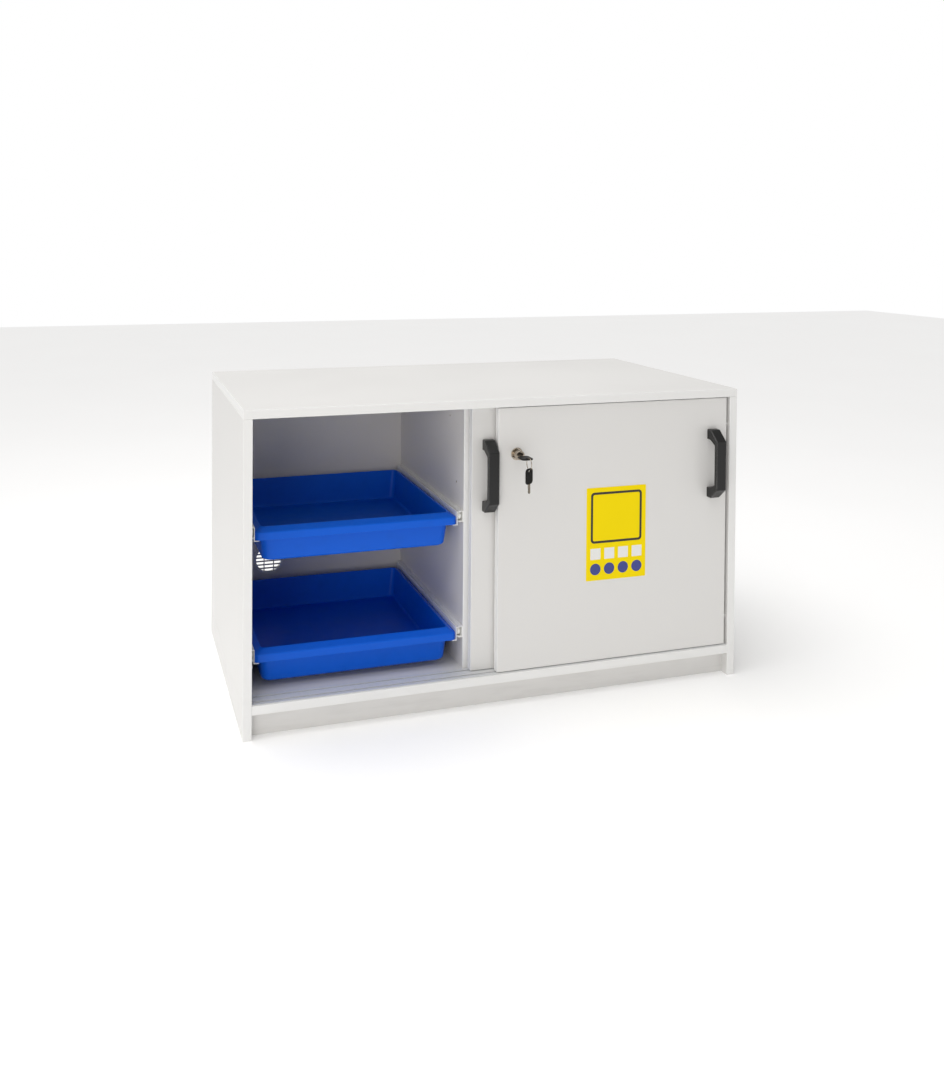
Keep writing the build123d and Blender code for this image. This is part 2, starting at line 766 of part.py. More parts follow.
for column, middle_x in (("left", -tray_middle_x), ("right", tray_middle_x)):
    for level, base in (("upper", upper_tray_base), ("lower", lower_tray_base)):
        name = f"{level}_{column}"
        front_roller_y = front + runner_front_depth + roller_from_end
        rear_roller_y = tray_front + runner_length - roller_from_end
        save(make_tray(middle_x, base), f"{name}_tray")
        save(make_drawer_rails(middle_x, base), f"{name}_drawer_rails")
        save(make_cabinet_rails(middle_x, base), f"{name}_cabinet_rails")
        with BuildPart() as front_rollers:
            rollers(middle_x, front_roller_y, front_roller_height(base))
        save(front_rollers, f"{name}_front_rollers")
        with BuildPart() as rear_rollers:
            rollers(middle_x, rear_roller_y, rear_roller_height(base))
        save(rear_rollers, f"{name}_rear_rollers")
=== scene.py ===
"""Under-bench safety cabinet: white laminated boards, two sliding doors with a push
lock, and four blue spill trays on roller runners. Metres, in the frame of the CAD."""

import math

import bpy
from mathutils import Matrix, Vector


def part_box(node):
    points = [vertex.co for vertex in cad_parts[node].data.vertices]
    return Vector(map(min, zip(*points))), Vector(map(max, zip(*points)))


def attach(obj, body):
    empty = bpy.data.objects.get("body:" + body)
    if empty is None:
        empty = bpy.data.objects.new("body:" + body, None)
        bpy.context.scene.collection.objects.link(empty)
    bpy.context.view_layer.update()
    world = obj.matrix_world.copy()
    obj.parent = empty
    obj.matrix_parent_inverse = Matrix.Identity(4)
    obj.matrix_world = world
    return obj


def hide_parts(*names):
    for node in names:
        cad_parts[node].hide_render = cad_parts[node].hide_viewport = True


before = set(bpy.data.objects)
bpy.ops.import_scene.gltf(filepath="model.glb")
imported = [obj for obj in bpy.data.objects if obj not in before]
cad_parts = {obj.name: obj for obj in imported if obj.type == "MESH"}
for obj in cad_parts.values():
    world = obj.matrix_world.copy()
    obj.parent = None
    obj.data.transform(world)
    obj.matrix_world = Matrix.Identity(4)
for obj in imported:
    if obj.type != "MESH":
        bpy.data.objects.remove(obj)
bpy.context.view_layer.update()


# The camera's place: in front of the cabinet, off its left end and a little higher than
# its top. It is held almost level, and its lens is shifted down to take in the cabinet.
camera_place = (-0.814, -2.2025, 0.985)
yaw = math.radians(16.99)
pitch = math.radians(1.104)
roll = math.radians(0.364)
ahead = Vector((math.sin(yaw) * math.cos(pitch), math.cos(yaw) * math.cos(pitch), -math.sin(pitch)))
level = Vector((math.cos(yaw), -math.sin(yaw), 0))
above = level.cross(ahead)
across = math.cos(roll) * level + math.sin(roll) * above
upward = math.cos(roll) * above - math.sin(roll) * level
lens = bpy.data.cameras.new("camera")
lens.sensor_fit = "HORIZONTAL"
lens.sensor_width = 36
lens.lens = 38.75
lens.shift_x = 0.0654
lens.shift_y = -0.3034
camera = bpy.data.objects.new("camera", lens)
aim = Matrix((across, upward, -ahead)).transposed().to_4x4()
camera.matrix_world = Matrix.Translation(camera_place) @ aim
bpy.context.scene.collection.objects.link(camera)
bpy.context.scene.camera = camera
bpy.context.scene.view_settings.view_transform = "Standard"


# A plain pale studio: a wide matt floor, a white surround, and large soft lights above
# and to the left, so that the top is the brightest face and the front the quietest.
def put(tree, kind, settings=None, sockets=None):
    """A node with its settings, and its input sockets set or wired, by name or number."""
    made = tree.nodes.new(kind)
    for key, value in (settings or {}).items():
        setattr(made, key, value)
    for key, value in (sockets or {}).items():
        if isinstance(value, bpy.types.NodeSocket):
            tree.links.new(value, made.inputs[key])
        else:
            made.inputs[key].default_value = value
    return made


def soft_light(name, place, target, size, power, tint=(1, 1, 1)):
    """A square softbox at a place, turned to its target."""
    lamp = bpy.data.lights.new(name, "AREA")
    lamp.size = size
    lamp.energy = power
    lamp.color = tint
    holder = bpy.data.objects.new(name, lamp)
    turn = (Vector(target) - Vector(place)).to_track_quat("-Z", "Y")
    holder.matrix_world = Matrix.Translation(place) @ turn.to_matrix().to_4x4()
    bpy.context.scene.collection.objects.link(holder)


lit_point = (0, 0, 0.3)
soft_light("light_above", place=(-0.4, 0.1, 2.8), target=lit_point, size=2.0, power=24)
soft_light(
    "light_front", place=(-1.9, -2.9, 0.8), target=lit_point, size=1.2, power=17, tint=(1.0, 0.96, 0.91))
daylight_direction = Vector((0.50, 0.06, -1))
daylight = bpy.data.lights.new("daylight", "SUN")
daylight.energy = 1.5
daylight.angle = math.radians(75)
daylight_holder = bpy.data.objects.new("daylight", daylight)
daylight_holder.rotation_mode = "QUATERNION"
daylight_holder.rotation_quaternion = daylight_direction.to_track_quat("-Z", "Y")
bpy.context.scene.collection.objects.link(daylight_holder)

plain_white = (1, 1, 1, 1)
warm_white = (1, 0.985, 0.965, 1)
surround_strength = 0.37
world = bpy.data.worlds.new("surround")
world.use_nodes = True
sky = world.node_tree
sky.nodes.clear()
seen = put(sky, "ShaderNodeBackground", sockets={"Color": plain_white, "Strength": 1.0})
lit = put(sky, "ShaderNodeBackground", sockets={"Color": warm_white, "Strength": surround_strength})
path = put(sky, "ShaderNodeLightPath")
shown = put(sky, "ShaderNodeMixShader", sockets={
    0: path.outputs["Is Camera Ray"], 1: lit.outputs[0], 2: seen.outputs[0]})
put(sky, "ShaderNodeOutputWorld", sockets={"Surface": shown.outputs[0]})
bpy.context.scene.world = world


def new_material(name, **constants):
    """A material with one Principled BSDF. Values that are alike all over sit on its own sockets."""
    made = bpy.data.materials.new(name)
    made.use_nodes = True
    tree = made.node_tree
    tree.nodes.clear()
    surface = put(tree, "ShaderNodeBsdfPrincipled")
    for key, value in constants.items():
        surface.inputs[key.replace("_", " ")].default_value = value
    put(tree, "ShaderNodeOutputMaterial", sockets={"Surface": surface.outputs[0]})
    return made, tree, surface


def mesh_piece(name, points, polygons, material, smooth=True):
    """A mesh object at the origin from points in metres and polygons of point numbers."""
    mesh = bpy.data.meshes.new(name)
    mesh.from_pydata(points, [], polygons)
    mesh.validate()
    for face in mesh.polygons:
        face.use_smooth = smooth
    mesh.materials.append(material)
    made = bpy.data.objects.new(name, mesh)
    bpy.context.scene.collection.objects.link(made)
    return made


floor_reach = 9.0
floor_darkest = 0.93
floor_lightest = 0.96
floor_paint, tree, surface = new_material(
    "studio_floor", Roughness=0.8, Emission_Color=plain_white, Emission_Strength=0.12)
place = put(tree, "ShaderNodeTexCoord").outputs["Object"]
cloud = put(tree, "ShaderNodeTexNoise", sockets={"Vector": place, "Scale": 1.5, "Detail": 2.0})
tone = put(tree, "ShaderNodeMapRange", sockets={
    "Value": cloud.outputs[0], "To Min": floor_darkest, "To Max": floor_lightest})
grey = put(tree, "ShaderNodeCombineColor", sockets={channel: tone.outputs[0] for channel in range(3)})
tree.links.new(grey.outputs[0], surface.inputs["Base Color"])
floor_corners = [
    (-floor_reach, -floor_reach, 0), (floor_reach, -floor_reach, 0),
    (floor_reach, floor_reach, 0), (-floor_reach, floor_reach, 0)]
studio_floor = mesh_piece("studio_floor", floor_corners, [(0, 1, 2, 3)], floor_paint, smooth=False)


# Carcass boards: white melamine chipboard, 18 mm thick and 8 mm in the back panel, and
# held together by dowels. A tape, 1 mm thick, is pressed round the edges with a hairline
# seam along it, and near the floor the boards are faintly scuffed. The tape is painted
# brighter than the board, partly its own whiter colour and partly a painted highlight
# along the edges.
face_white = (0.765, 0.757, 0.742)
# The partitions and back panel take a lighter, warmer copy of the board white: painted light inside the
# compartment, which also offsets the blue cast bounced off the trays.
lit_inner_white = (0.79, 0.77, 0.745)
# Tape colour: the tape's own whiter tone, brightened further as a painted highlight along the edges.
tape_and_highlight_white = (0.86, 0.86, 0.85)
tape_width = 0.001
seam_grey = (0.42, 0.41, 0.39)
seam_width = 0.00025
seam_strength = 0.35
chipboard_brown = (0.36, 0.27, 0.17)
melamine_thickness = 0.0005
streak_scale = (9.0, 9.0, 60.0)
scuff_contrast = 4.0
scuff_height = 0.1
scuff_amount = 0.25
noise_middle = 0.5
roughness_swing = 0.18


def new_group(name, sockets):
    """A shader node group with named inputs and outputs: (name, in or out, kind, value)."""
    tree = bpy.data.node_groups.new(name, "ShaderNodeTree")
    kinds = {"colour": "NodeSocketColor", "value": "NodeSocketFloat", "vector": "NodeSocketVector"}
    for title, way, kind, *value in sockets:
        made = tree.interface.new_socket(title, in_out=way, socket_type=kinds[kind])
        if value:
            made.default_value = value[0]
    return tree, tree.nodes.new("NodeGroupInput").outputs, tree.nodes.new("NodeGroupOutput").inputs


def use_group(tree, group, sockets):
    """Place a node group in a material with its own values."""
    return put(tree, "ShaderNodeGroup", {"node_tree": group}, sockets).outputs


def maths(tree, operation, *values):
    """One Math node. Its inputs are numbers or sockets."""
    return put(tree, "ShaderNodeMath", {"operation": operation}, dict(enumerate(values))).outputs[0]


def blend_colours(tree, factor, first, second, kind="MIX"):
    """Mix two colours, each a socket or a colour."""
    made = put(tree, "ShaderNodeMix", {"data_type": "RGBA", "blend_type": kind},
               {0: factor, 6: first, 7: second})
    return made.outputs[2]


grain, given, out = new_group("surface_grain", (
    ("Colour", "INPUT", "colour", (0.8, 0.8, 0.8, 1)),
    ("Roughness", "INPUT", "value", 0.5),
    ("Grain Scale", "INPUT", "value", 900.0),
    ("Grain Depth", "INPUT", "value", 0.0001),
    ("Cloud Scale", "INPUT", "value", 5.0),
    ("Cloud Amount", "INPUT", "value", 0.04),
    ("Colour", "OUTPUT", "colour"),
    ("Roughness", "OUTPUT", "value"),
    ("Normal", "OUTPUT", "vector"),
))
place = put(grain, "ShaderNodeTexCoord").outputs["Object"]
fine = put(grain, "ShaderNodeTexNoise", sockets={
    "Vector": place, "Scale": given["Grain Scale"], "Detail": 3.0})
wide = put(grain, "ShaderNodeTexNoise", sockets={
    "Vector": place, "Scale": given["Cloud Scale"], "Detail": 4.0})
swing = maths(grain, "SUBTRACT", wide.outputs[0], noise_middle)
shade = maths(grain, "MULTIPLY_ADD", swing, given["Cloud Amount"], 1.0)
shade = maths(grain, "MINIMUM", shade, 1.0)
shade_grey = put(grain, "ShaderNodeCombineColor", sockets={
    channel: shade for channel in range(3)}).outputs[0]
grain.links.new(blend_colours(grain, 1.0, given["Colour"], shade_grey, "MULTIPLY"), out["Colour"])
rougher = maths(grain, "MULTIPLY_ADD", swing, roughness_swing, given["Roughness"])
grain.links.new(rougher, out["Roughness"])
bump = put(grain, "ShaderNodeBump", sockets={
    "Strength": 0.6, "Distance": given["Grain Depth"], "Height": fine.outputs[0]})
grain.links.new(bump.outputs[0], out["Normal"])

box_margin, given, out = new_group("box_margin", (
    ("Low", "INPUT", "vector"),
    ("High", "INPUT", "vector"),
    ("Margin", "OUTPUT", "value"),
))
place = put(box_margin, "ShaderNodeTexCoord").outputs["Object"]
from_low = put(box_margin, "ShaderNodeVectorMath", {"operation": "SUBTRACT"}, {0: place, 1: given["Low"]})
from_high = put(box_margin, "ShaderNodeVectorMath", {"operation": "SUBTRACT"}, {0: given["High"], 1: place})
nearest = put(box_margin, "ShaderNodeVectorMath", {"operation": "MINIMUM"},
              {0: from_low.outputs[0], 1: from_high.outputs[0]})
parts = put(box_margin, "ShaderNodeSeparateXYZ", sockets={0: nearest.outputs[0]}).outputs
margin = maths(box_margin, "MINIMUM", maths(box_margin, "MINIMUM", parts[0], parts[1]), parts[2])
box_margin.links.new(margin, out["Margin"])

tape, given, out = new_group("edge_tape", (
    ("Low", "INPUT", "vector"),
    ("High", "INPUT", "vector"),
    ("Tape Width", "INPUT", "value", 0.001),
    ("Seam Width", "INPUT", "value", 0.0002),
    ("Tape", "OUTPUT", "value"),
    ("Seam", "OUTPUT", "value"),
))
margin = use_group(tape, box_margin, {"Low": given["Low"], "High": given["High"]})["Margin"]
on_tape = maths(tape, "LESS_THAN", margin, given["Tape Width"])
tape.links.new(on_tape, out["Tape"])
past_seam = maths(tape, "LESS_THAN", margin, maths(tape, "ADD", given["Tape Width"], given["Seam Width"]))
tape.links.new(maths(tape, "SUBTRACT", past_seam, on_tape), out["Seam"])

scuff, given, out = new_group("low_scuffs", (
    ("Colour", "INPUT", "colour", (0.8, 0.8, 0.8, 1)),
    ("Mark", "INPUT", "colour", (0.5, 0.49, 0.47, 1)),
    ("Height", "INPUT", "value", 0.12),
    ("Amount", "INPUT", "value", 0.3),
    ("Colour", "OUTPUT", "colour"),
))
place = put(scuff, "ShaderNodeTexCoord").outputs["Object"]
height_here = put(scuff, "ShaderNodeSeparateXYZ", sockets={0: place}).outputs[2]
fade = maths(scuff, "SUBTRACT", 1.0, maths(scuff, "DIVIDE", height_here, given["Height"]))
fade = maths(scuff, "MAXIMUM", fade, 0.0)
streaks = put(scuff, "ShaderNodeMapping", sockets={"Vector": place, "Scale": streak_scale})
rubbed = put(scuff, "ShaderNodeTexNoise", sockets={
    "Vector": streaks.outputs[0], "Scale": 1.0, "Detail": 6.0})
marks = maths(scuff, "SUBTRACT", rubbed.outputs[0], noise_middle)
marks = maths(scuff, "MULTIPLY", marks, scuff_contrast)
mask = put(scuff, "ShaderNodeClamp", sockets={0: maths(scuff, "MULTIPLY", marks, fade)}).outputs[0]
mask = maths(scuff, "MULTIPLY", mask, given["Amount"])
scuff.links.new(blend_colours(scuff, mask, given["Colour"], given["Mark"]), out["Colour"])


def wire_surface(tree, surface, look):
    """Feed a group's colour, roughness and normal to the material's surface."""
    tree.links.new(look["Colour"], surface.inputs["Base Color"])
    tree.links.new(look["Roughness"], surface.inputs["Roughness"])
    tree.links.new(look["Normal"], surface.inputs["Normal"])


def laminate(node_name, face, thin_axis):
    """White melamine board: tape on its narrow edges, and bare chipboard in holes and grooves."""
    clear_of_faces = 1.0
    low, high = (list(corner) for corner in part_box(node_name))
    made, tree, surface = new_material(node_name, IOR=1.5)
    inside = use_group(tree, box_margin, {"Low": low, "High": high})["Margin"]
    core = maths(tree, "GREATER_THAN", inside, melamine_thickness)
    low[thin_axis] -= clear_of_faces
    high[thin_axis] += clear_of_faces
    lines = use_group(tree, tape, {
        "Low": low, "High": high, "Tape Width": tape_width, "Seam Width": seam_width})
    seam = maths(tree, "MULTIPLY", lines["Seam"], seam_strength)
    colour = blend_colours(tree, lines["Tape"], (*face, 1), (*tape_and_highlight_white, 1))
    colour = blend_colours(tree, seam, colour, (*seam_grey, 1))
    colour = blend_colours(tree, core, colour, (*chipboard_brown, 1))
    worn = use_group(tree, scuff, {"Colour": colour, "Height": scuff_height, "Amount": scuff_amount})
    pearl = use_group(tree, grain, {
        "Colour": worn["Colour"], "Roughness": 0.42, "Grain Scale": 1400.0, "Grain Depth": 0.00003,
        "Cloud Scale": 4.0, "Cloud Amount": 0.05})
    wire_surface(tree, surface, pearl)
    return made


def finish(node_name, material):
    """Give a CAD node its material."""
    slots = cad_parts[node_name].data.materials
    slots.clear()
    slots.append(material)


x_axis, y_axis, z_axis = range(3)
for board, face, thin_axis in (
        ("top_panel", face_white, z_axis),
        ("bottom_panel", face_white, z_axis),
        ("left_side_panel", face_white, x_axis),
        ("right_side_panel", face_white, x_axis),
        ("plinth_board", face_white, y_axis),
        ("left_partition", lit_inner_white, x_axis),
        ("right_partition", lit_inner_white, x_axis),
        ("back_panel", lit_inner_white, y_axis)):
    finish(board, laminate(board, face, thin_axis))


# Door tracks: extruded strips of pale grey plastic, let into the bottom and top panels,
# with a groove for each door. Use has left their colour a little uneven.
def plain_finish(name, colour, roughness, grain_scale, grain_depth, cloud=0.05, **constants):
    """A moulded, extruded or printed finish made with the shared grain group."""
    made, tree, surface = new_material(name, **constants)
    wire_surface(tree, surface, use_group(tree, grain, {
        "Colour": (*colour, 1), "Roughness": roughness, "Grain Scale": grain_scale,
        "Grain Depth": grain_depth, "Cloud Amount": cloud}))
    return made


track_plastic = plain_finish(
    "track_plastic", colour=(0.70, 0.71, 0.71), roughness=0.38,
    grain_scale=500.0, grain_depth=0.00004, cloud=0.12)
finish("bottom_door_track", track_plastic)
finish("top_door_track", track_plastic)


# Buffers: short round studs of soft pale rubber, moulded in one piece each and stuck on
# the side panels where the edges of the doors arrive.
buffer_rubber = plain_finish(
    "buffer_rubber", colour=(0.62, 0.62, 0.61), roughness=0.75,
    grain_scale=700.0, grain_depth=0.0001, cloud=0.1)
finish("door_buffers", buffer_rubber)


# Vent grilles: discs of white moulded plastic with rows of slots. A collar behind each
# disc fits into a round hole in the back panel.
grille_plastic = plain_finish(
    "grille_plastic", colour=(0.82, 0.82, 0.80), roughness=0.4, grain_scale=800.0, grain_depth=0.00004)
for side in ("left", "right"):
    finish(f"{side}_vent_grille", grille_plastic)


# Doors: two boards of the same white laminate as the carcass, sawn to size and taped on
# all four edges. The left one runs behind the right one.
for side in ("left", "right"):
    finish(f"{side}_door", laminate(f"{side}_door", face_white, y_axis))


# Glides and guides: blocks of moulded nylon, let into the edges of the doors. The glides
# run in the bottom track, and the guides keep the doors upright in the top track.
nylon = plain_finish(
    "nylon", colour=(0.84, 0.84, 0.81), roughness=0.35, grain_scale=600.0, grain_depth=0.00004)
for side in ("left", "right"):
    finish(f"{side}_door_glides", nylon)
    finish(f"{side}_door_guides", nylon)


# Handles: black glass-filled nylon bows with a fine grain, polished by hands along
# their edges, each held by two zinc-plated screws from behind. On the bows and the
# screws the edges are painted lighter as a highlight.
# Edge wear and highlight: a mask found along the edges mixes in a second colour. A darker one is wear; a
# lighter one is a painted highlight.
edge_mask_contrast = 5.0
edge_patch_scale = 160.0
edge_polish = -0.15
wear_and_highlight, given, out = new_group("edge_wear_and_highlight", (
    ("Colour", "INPUT", "colour", (0.1, 0.1, 0.1, 1)),
    ("Worn Colour", "INPUT", "colour", (0.2, 0.2, 0.2, 1)),
    ("Edge Width", "INPUT", "value", 0.001),
    ("Amount", "INPUT", "value", 0.5),
    ("Colour", "OUTPUT", "colour"),
    ("Edge", "OUTPUT", "value"),
))
rounded = put(wear_and_highlight, "ShaderNodeBevel", {"samples": 4}, {"Radius": given["Edge Width"]})
straight = put(wear_and_highlight, "ShaderNodeNewGeometry").outputs["True Normal"]
turned = put(wear_and_highlight, "ShaderNodeVectorMath", {"operation": "DOT_PRODUCT"},
             {0: rounded.outputs[0], 1: straight})
edge = maths(wear_and_highlight, "SUBTRACT", 1.0, turned.outputs["Value"])
edge = maths(wear_and_highlight, "MULTIPLY", edge, edge_mask_contrast)
place = put(wear_and_highlight, "ShaderNodeTexCoord").outputs["Object"]
patchy = put(wear_and_highlight, "ShaderNodeTexNoise", sockets={"Vector": place, "Scale": edge_patch_scale, "Detail": 4.0})
edge = maths(wear_and_highlight, "MULTIPLY", edge, patchy.outputs[0])
edge = put(wear_and_highlight, "ShaderNodeClamp", sockets={0: edge}).outputs[0]
edge = maths(wear_and_highlight, "MULTIPLY", edge, given["Amount"])
wear_and_highlight.links.new(blend_colours(wear_and_highlight, edge, given["Colour"], given["Worn Colour"]), out["Colour"])
wear_and_highlight.links.new(edge, out["Edge"])


def handled_and_highlit_finish(
        name, colour, wear_and_highlight_colour, roughness, grain_scale, grain_depth, edge_width, amount, **constants):
    """A finish with the shared grain, its edges smoother by use and recoloured: darker for wear, lighter as a
    painted highlight.
    """
    made, tree, surface = new_material(name, **constants)
    rubbed = use_group(tree, wear_and_highlight, {
        "Colour": (*colour, 1), "Worn Colour": (*wear_and_highlight_colour, 1), "Edge Width": edge_width, "Amount": amount})
    sockets = use_group(tree, grain, {
        "Colour": rubbed["Colour"], "Roughness": roughness, "Grain Scale": grain_scale,
        "Grain Depth": grain_depth, "Cloud Scale": 30.0, "Cloud Amount": 0.2})
    smoother = maths(tree, "MULTIPLY_ADD", rubbed["Edge"], edge_polish, sockets["Roughness"])
    tree.links.new(sockets["Colour"], surface.inputs["Base Color"])
    tree.links.new(smoother, surface.inputs["Roughness"])
    tree.links.new(sockets["Normal"], surface.inputs["Normal"])
    return made


black_nylon = handled_and_highlit_finish(
    "black_nylon", colour=(0.007, 0.007, 0.007), wear_and_highlight_colour=(0.25, 0.245, 0.24), roughness=0.34,
    grain_scale=900.0, grain_depth=0.0002, edge_width=0.0014, amount=1.0, Specular_IOR_Level=0.45)
zinc = handled_and_highlit_finish(
    "zinc", colour=(0.52, 0.53, 0.55), wear_and_highlight_colour=(0.7, 0.7, 0.7), roughness=0.32,
    grain_scale=600.0, grain_depth=0.00005, edge_width=0.0003, amount=0.5, Metallic=1.0)
for side in ("left", "right"):
    finish(f"{side}_door_handle", black_nylon)
    finish(f"{side}_door_handle_screws", zinc)


# Push lock and keys: a nickel-plated brass cylinder with its rosette and striker bush,
# and a ring of plated wire, their edges painted lighter as a highlight. The key blades
# are stamped, and take a darker copy of the nickel as painted shade. Their heads are
# black moulded plastic, with edges painted a little lighter as a highlight.
nickel = handled_and_highlit_finish(
    "nickel", colour=(0.40, 0.345, 0.28), wear_and_highlight_colour=(0.88, 0.83, 0.75), roughness=0.12,
    grain_scale=400.0, grain_depth=0.00004, edge_width=0.0006, amount=0.9, Metallic=1.0)
for part in ("lock_body", "lock_rosette", "lock_plunger", "lock_plug", "lock_strike", "key_ring"):
    finish(part, nickel)
shaded_blade_nickel = handled_and_highlit_finish(
    "shaded_blade_nickel", colour=(0.20, 0.175, 0.14), wear_and_highlight_colour=(0.62, 0.58, 0.52), roughness=0.22,
    grain_scale=400.0, grain_depth=0.00004, edge_width=0.0004, amount=0.9, Metallic=1.0)
for part in ("key_blade", "spare_key_blade"):
    finish(part, shaded_blade_nickel)
key_plastic = handled_and_highlit_finish(
    "key_plastic", colour=(0.008, 0.008, 0.009), wear_and_highlight_colour=(0.06, 0.06, 0.065), roughness=0.4,
    grain_scale=800.0, grain_depth=0.0001, edge_width=0.0008, amount=0.8, Specular_IOR_Level=0.08)
for part in ("key_head", "spare_key_head"):
    finish(part, key_plastic)


# Sign plate: a thin plastic sheet, printed yellow all over and stuck on the right door.
# Its black, white and blue print is the last section of the pieces.
sign_yellow = plain_finish(
    "sign_yellow", colour=(0.96, 0.74, 0.0), roughness=0.35,
    grain_scale=300.0, grain_depth=0.00003, Specular_IOR_Level=0.1)
finish("sign_plate", sign_yellow)


# Spill trays: moulded blue polypropylene with a tapered body, rounded corners, and a
# hollow rim that slopes outwards and turns down over the rails. Their edges are painted
# a lighter blue as a highlight.
tray_blue = handled_and_highlit_finish(
    "tray_blue", colour=(0.0, 0.11, 0.68), wear_and_highlight_colour=(0.04, 0.22, 0.90), roughness=0.38,
    grain_scale=700.0, grain_depth=0.00008, edge_width=0.0015, amount=0.6, Specular_IOR_Level=0.22)


def rounded_profile(corners, steps=5):
    """Points along an outline of (inset, height, rounding, plan radius) corners, all in mm.
    Both of its ends run level towards the middle of the tray."""
    points = []
    inward = Vector((100, 0))
    line = [Vector(corner[:2]) for corner in corners]
    line = [line[0] + inward, *line, line[-1] + inward]
    for k, (inset, height, rounding, plan) in enumerate(corners, 1):
        here = line[k]
        before = line[k - 1] - here
        after = line[k + 1] - here
        half = before.angle(after) / 2
        start = here + before.normalized() * rounding / math.tan(half)
        middle = here + (before.normalized() + after.normalized()).normalized() * rounding / math.sin(half)
        sweep = (start - middle).angle_signed(here + after.normalized() * rounding / math.tan(half) - middle)
        for step in range(steps + 1):
            arm = (start - middle) @ Matrix.Rotation(sweep * step / steps, 2)
            points.append((middle.x + arm.x, middle.y + arm.y, plan))
    return points


def plan_ring(low, high, inset, plan_radius, height, corner_steps=8):
    """Points round a rounded rectangle drawn in by inset, anticlockwise seen from above."""
    left = low.x + inset
    right = high.x - inset
    front_line = low.y + inset
    back_line = high.y - inset
    corners = ((right, back_line), (left, back_line), (left, front_line), (right, front_line))
    ring = []
    for k, (x, y) in enumerate(corners):
        middle_x = x - math.copysign(plan_radius, x - (left + right) / 2)
        middle_y = y - math.copysign(plan_radius, y - (front_line + back_line) / 2)
        for step in range(corner_steps + 1):
            angle = math.radians(90) * (k + step / corner_steps)
            ring.append((
                middle_x + plan_radius * math.cos(angle), middle_y + plan_radius * math.sin(angle), height))
    return ring


# From the tray's floor up its inner wall, over the rim and down its body to the base.
tray_corners = (
    (22.5, 4.0, 5.0, 14.0),
    (16.0, 72.0, 0.9, 10.0),
    (14.0, 72.0, 1.5, 10.0),
    (0.0, 63.5, 4.0, 10.0),
    (0.0, 48.0, 0.8, 10.0),
    (3.5, 48.0, 0.8, 6.5),
    (3.5, 60.0, 1.0, 6.5),
    (12.75, 60.0, 1.0, 16.0),
    (19.0, 0.0, 8.0, 16.0),
)
mm_per_metre = 1000
for level_name in ("upper", "lower"):
    for side in ("left", "right"):
        low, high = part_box(f"{level_name}_{side}_tray")
        rings = [
            plan_ring(low, high, inset / mm_per_metre, plan / mm_per_metre, low.z + height / mm_per_metre)
            for inset, height, plan in rounded_profile(tray_corners)]
        count = len(rings[0])
        points = [point for ring in rings for point in ring]
        polygons = [
            (r * count + k, (r + 1) * count + k,
             (r + 1) * count + (k + 1) % count, r * count + (k + 1) % count)
            for r in range(len(rings) - 1) for k in range(count)]
        polygons.append(tuple(range(count)))
        polygons.append(tuple(range(len(points) - 1, len(points) - count - 1, -1)))
        tray = mesh_piece(f"{level_name}_{side}_moulded_tray", points, polygons, tray_blue)
        tray.modifiers.new("even_shading", "WEIGHTED_NORMAL")
        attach(tray, f"{level_name}_{side}_tray")
        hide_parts(f"{level_name}_{side}_tray")


# Roller runners: folded steel rails with a baked white coating. White nylon rollers turn
# on short axles, at the front of the cabinet rails and at the back of the drawer rails.
coated_steel = handled_and_highlit_finish(
    "coated_steel", colour=(0.90, 0.90, 0.885), wear_and_highlight_colour=(0.6, 0.6, 0.6), roughness=0.34,
    grain_scale=500.0, grain_depth=0.00005, edge_width=0.0005, amount=0.4)
for level_name in ("upper", "lower"):
    for side in ("left", "right"):
        for part in ("drawer_rails", "cabinet_rails"):
            finish(f"{level_name}_{side}_{part}", coated_steel)
        for part in ("front_rollers", "rear_rollers"):
            finish(f"{level_name}_{side}_{part}", nylon)


# Runner screws: zinc-plated countersunk screws with a cross recess, three through the
# web of each cabinet rail into the side panel or partition.
head_sides = 28
head_taper = 0.9
recess_reach = 1.1
steel_thickness = 0.0012
screw_lines = (0.037, 0.229, 0.421)


def geometry_tree(name, inputs):
    """A Geometry Nodes tree with named inputs, and its start and end sockets."""
    tree = bpy.data.node_groups.new(name, "GeometryNodeTree")
    tree.interface.new_socket("Points", in_out="INPUT", socket_type="NodeSocketGeometry")
    for title, kind, value in inputs:
        made = tree.interface.new_socket(title, in_out="INPUT", socket_type=f"NodeSocket{kind}")
        if value is not None:
            made.default_value = value
    tree.interface.new_socket("Pieces", in_out="OUTPUT", socket_type="NodeSocketGeometry")
    return tree, tree.nodes.new("NodeGroupInput").outputs, tree.nodes.new("NodeGroupOutput").inputs


def place_copies(tree, given, out, shape):
    """Stand a shape on each point, along its facing attribute, and give it the material."""
    facing = put(tree, "GeometryNodeInputNamedAttribute", {"data_type": "FLOAT_VECTOR"}, {"Name": "facing"})
    turn = put(tree, "FunctionNodeAlignRotationToVector", {"axis": "Z"},
               {"Vector": facing.outputs["Attribute"]})
    copies = put(tree, "GeometryNodeInstanceOnPoints", sockets={
        "Points": given["Points"], "Instance": shape, "Rotation": turn.outputs[0]})
    real = put(tree, "GeometryNodeRealizeInstances", sockets={"Geometry": copies.outputs[0]})
    painted = put(tree, "GeometryNodeSetMaterial", sockets={
        "Geometry": real.outputs[0], "Material": given["Material"]})
    tree.links.new(painted.outputs[0], out["Pieces"])


